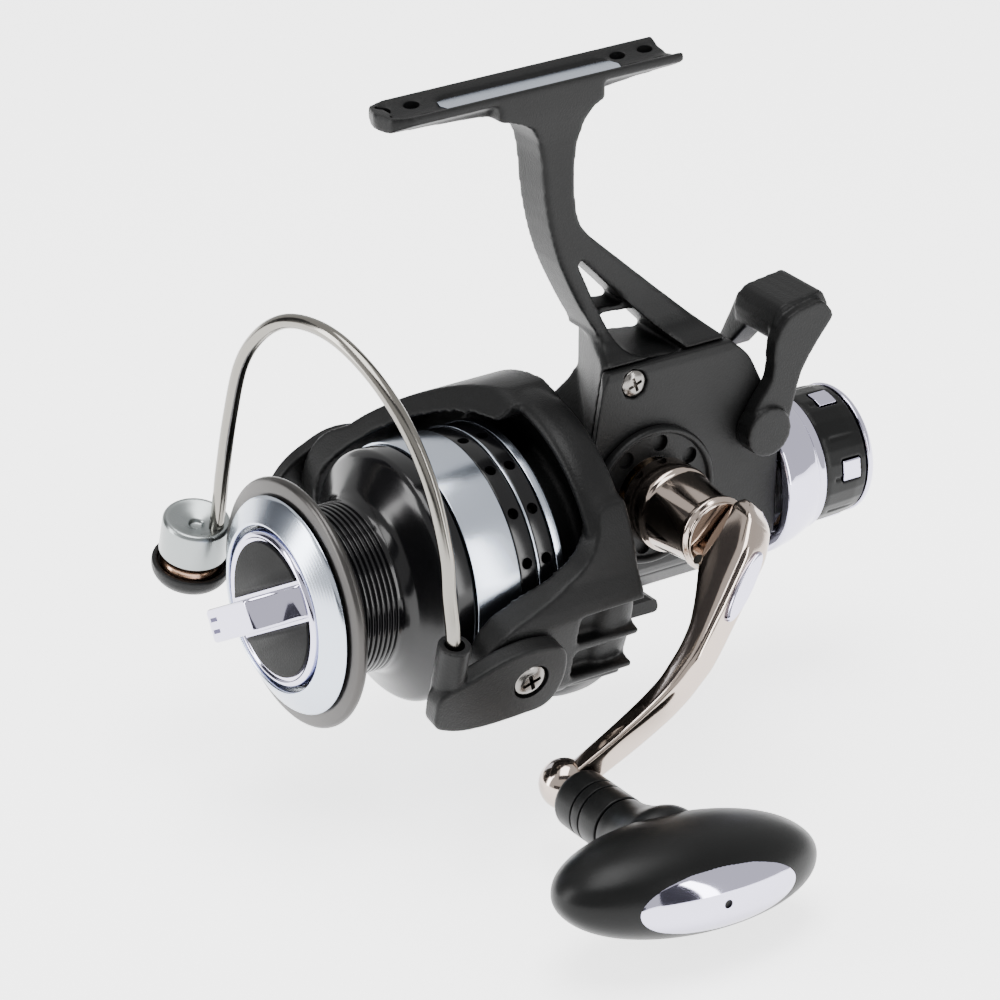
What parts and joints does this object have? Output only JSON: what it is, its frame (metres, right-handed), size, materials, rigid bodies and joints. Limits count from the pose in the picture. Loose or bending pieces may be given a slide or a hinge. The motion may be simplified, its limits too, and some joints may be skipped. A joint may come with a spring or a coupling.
{
  "type": "spinning fishing reel",
  "caption": "Rear-drag spinning reel: foot and stem on a gear case, folding crank with an oval knob, rotor with a wire bail, stroking spool and free-spool lever.",
  "frame": {"origin": "middle of the foot's flat rim plane, where the foot beds against a rod", "axes": "+Z out of the foot towards the rod, -Y towards the front of the reel (the spool), +X towards the handle"},
  "size_m": [0.1423, 0.1454, 0.1375],
  "materials": {
    "matt_black": "fine textured matt black",
    "soft_black": "soft-touch black",
    "gloss_black": "gloss black anodised",
    "dark_satin": "satin dark grey anodised",
    "bright": "bright turned",
    "lilac_chrome": "polished, faint lilac",
    "black_nickel": "polished black nickel",
    "steel": "bright",
    "satin_aluminium": "satin turned",
    "brass": "machined",
    "copper": "bronze, satin",
    "zinc": "die-cast zinc",
    "fibre": "brake fibre"
  },
  "bodies": {
    "frame": {"gear_case": "matt_black", "side_cover": "matt_black", "cover_screw_1": "steel", "cover_screw_2": "steel", "cover_screw_3": "steel", "foot_plate": "bright", "handle_seat": "matt_black", "handle_bearing_near": "steel", "handle_bearing_far": "steel", "pinion_bearing": "steel", "anti_reverse_clutch": "steel", "rear_bell": "lilac_chrome", "drag_stud": "zinc", "drag_disc_1": "zinc", "drag_disc_2": "fibre", "drag_spring": "steel", "oscillation_axle": "steel", "guide_rod": "steel"},
    "handle": {"drive_gear": "brass", "handle_shaft": "steel", "handle_hub": "black_nickel", "handle_shaft_cap": "black_nickel", "crank_pin": "steel"},
    "crank": {"crank_arm": "black_nickel", "crank_inlay": "lilac_chrome", "knob_shaft": "steel"},
    "grip": {"knob_neck": "soft_black", "knob_grip": "soft_black", "knob_inlay": "lilac_chrome"},
    "rotor": {"rotor": "matt_black", "pinion_gear": "brass", "rotor_nut": "brass", "bail_screw": "steel", "roller_arm_screw": "steel"},
    "bail": {"bail_arm": "matt_black", "roller_arm": "matt_black", "bail_wire": "steel", "roller_cap": "satin_aluminium", "roller_pin": "steel"},
    "roller": {"line_roller": "copper"},
    "carriage": {"slider_block": "brass"},
    "spool": {"main_shaft": "steel", "spool": "gloss_black", "spool_lip": "dark_satin", "spool_cone_ring": "bright", "skirt_band_wide": "bright", "skirt_band_thin": "bright", "skirt_band_rear": "bright"},
    "front_knob": {"spool_knob": "lilac_chrome", "spool_knob_inset_1": "matt_black", "spool_knob_inset_2": "matt_black"},
    "brake_sleeve": {"drag_sleeve": "brass"},
    "rear_knob": {"drag_knob": "soft_black", "drag_knob_windows": "lilac_chrome", "drag_knob_end_ring": "lilac_chrome", "drag_knob_cap": "soft_black"},
    "lever": {"free_spool_lever": "matt_black"},
    "oscillator": {"oscillation_gear": "zinc"},
    "switch": {"anti_reverse_switch": "matt_black"}
  },
  "joints": [
    {"name": "handle_turn", "type": "hinge", "parent": "frame", "child": "handle", "pos_m": [0.02, 0.0207, -0.0866], "axis": [1, 0, 0], "continuous": true},
    {"name": "crank_fold", "type": "hinge", "parent": "handle", "child": "crank", "pos_m": [0.0396, 0.01632, -0.09098], "axis": [0, 0.7071, -0.7071], "range_deg": [0, 18]},
    {"name": "knob_spin", "type": "hinge", "parent": "crank", "child": "grip", "pos_m": [0.06, -0.01925, -0.12655], "axis": [1, 0, 0], "continuous": true},
    {"name": "rotor_spin", "type": "hinge", "parent": "frame", "child": "rotor", "pos_m": [0, 0, -0.096], "axis": [0, 1, 0], "continuous": true},
    {"name": "bail_flip", "type": "hinge", "parent": "rotor", "child": "bail", "pos_m": [0, -0.0225, -0.096], "axis": [0.9659, 0, -0.2588], "range_deg": [0, 105]},
    {"name": "line_roller_spin", "type": "hinge", "parent": "bail", "child": "roller", "pos_m": [-0.03711, -0.0536, -0.10159], "axis": [0.2588, 0, 0.9659], "continuous": true},
    {"name": "spool_stroke", "type": "slide", "parent": "frame", "child": "carriage", "axis": [0, -1, 0], "range_m": [0, 0.018]},
    {"name": "spool_spin", "type": "hinge", "parent": "carriage", "child": "spool", "pos_m": [0, -0.03, -0.096], "axis": [0, 1, 0], "continuous": true},
    {"name": "spool_knob_turn", "type": "hinge", "parent": "spool", "child": "front_knob", "pos_m": [0, -0.055, -0.096], "axis": [0, 1, 0], "continuous": true},
    {"name": "brake_sleeve_spin", "type": "hinge", "parent": "frame", "child": "brake_sleeve", "pos_m": [0, 0.055, -0.096], "axis": [0, 1, 0], "continuous": true},
    {"name": "drag_knob_turn", "type": "hinge", "parent": "frame", "child": "rear_knob", "pos_m": [0, 0.07, -0.096], "axis": [0, 1, 0], "range_deg": [-180, 180]},
    {"name": "free_spool_lever_flip", "type": "hinge", "parent": "frame", "child": "lever", "pos_m": [0, 0.0465, -0.0785], "axis": [-1, 0, 0], "range_deg": [0, 22]},
    {"name": "oscillation_gear_spin", "type": "hinge", "parent": "frame", "child": "oscillator", "pos_m": [-0.0074, 0.033, -0.095], "axis": [1, 0, 0], "continuous": true},
    {"name": "anti_reverse_switch_turn", "type": "hinge", "parent": "frame", "child": "switch", "pos_m": [0, 0.024, -0.112], "axis": [0, 0, 1], "range_deg": [0, 30]}
  ],
  "couplings": [
    {"joint": "rotor_spin", "follows": "handle_turn", "ratio": 5},
    {"joint": "oscillation_gear_spin", "follows": "handle_turn", "ratio": -1},
    {"joint": "brake_sleeve_spin", "follows": "spool_spin", "ratio": 1}
  ]
}
